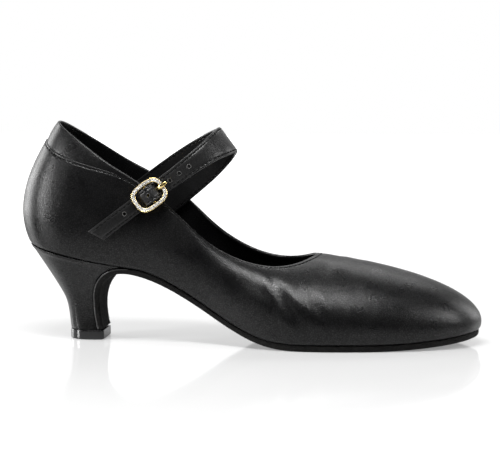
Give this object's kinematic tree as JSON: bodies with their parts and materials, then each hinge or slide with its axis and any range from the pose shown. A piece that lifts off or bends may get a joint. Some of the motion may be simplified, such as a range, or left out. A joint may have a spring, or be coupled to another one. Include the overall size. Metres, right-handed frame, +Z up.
{
  "type": "latin dance shoe",
  "caption": "Latin dance shoe for the right foot: hollow leather upper with closed round toe, buckled instep strap, suede sole and slim flared heel.",
  "frame": {"origin": "on the floor, under the middle of the shoe's box", "axes": "+X to the toe, +Y to the inner (medial) side of the right foot, +Z up from the floor"},
  "size_m": [0.2412, 0.082, 0.1146],
  "materials": {
    "black_leather": "fine-grained satin black leather",
    "black_lining": "matte black lining leather",
    "black_suede": "rough black suede",
    "heel_cover": "fine-grained satin black leather over a hard block",
    "black_plastic": "gloss black",
    "strap_leather": "smooth black leather",
    "gold_plate": "polished gold plate"
  },
  "bodies": {
    "root": {"upper": "black_leather", "insole": "black_lining", "outsole": "black_suede", "heel": "heel_cover", "top_lift": "black_plastic", "strap": "strap_leather", "buckle_tab": "strap_leather", "buckle_frame": "gold_plate", "buckle_prong": "gold_plate"}
  },
  "joints": []
}
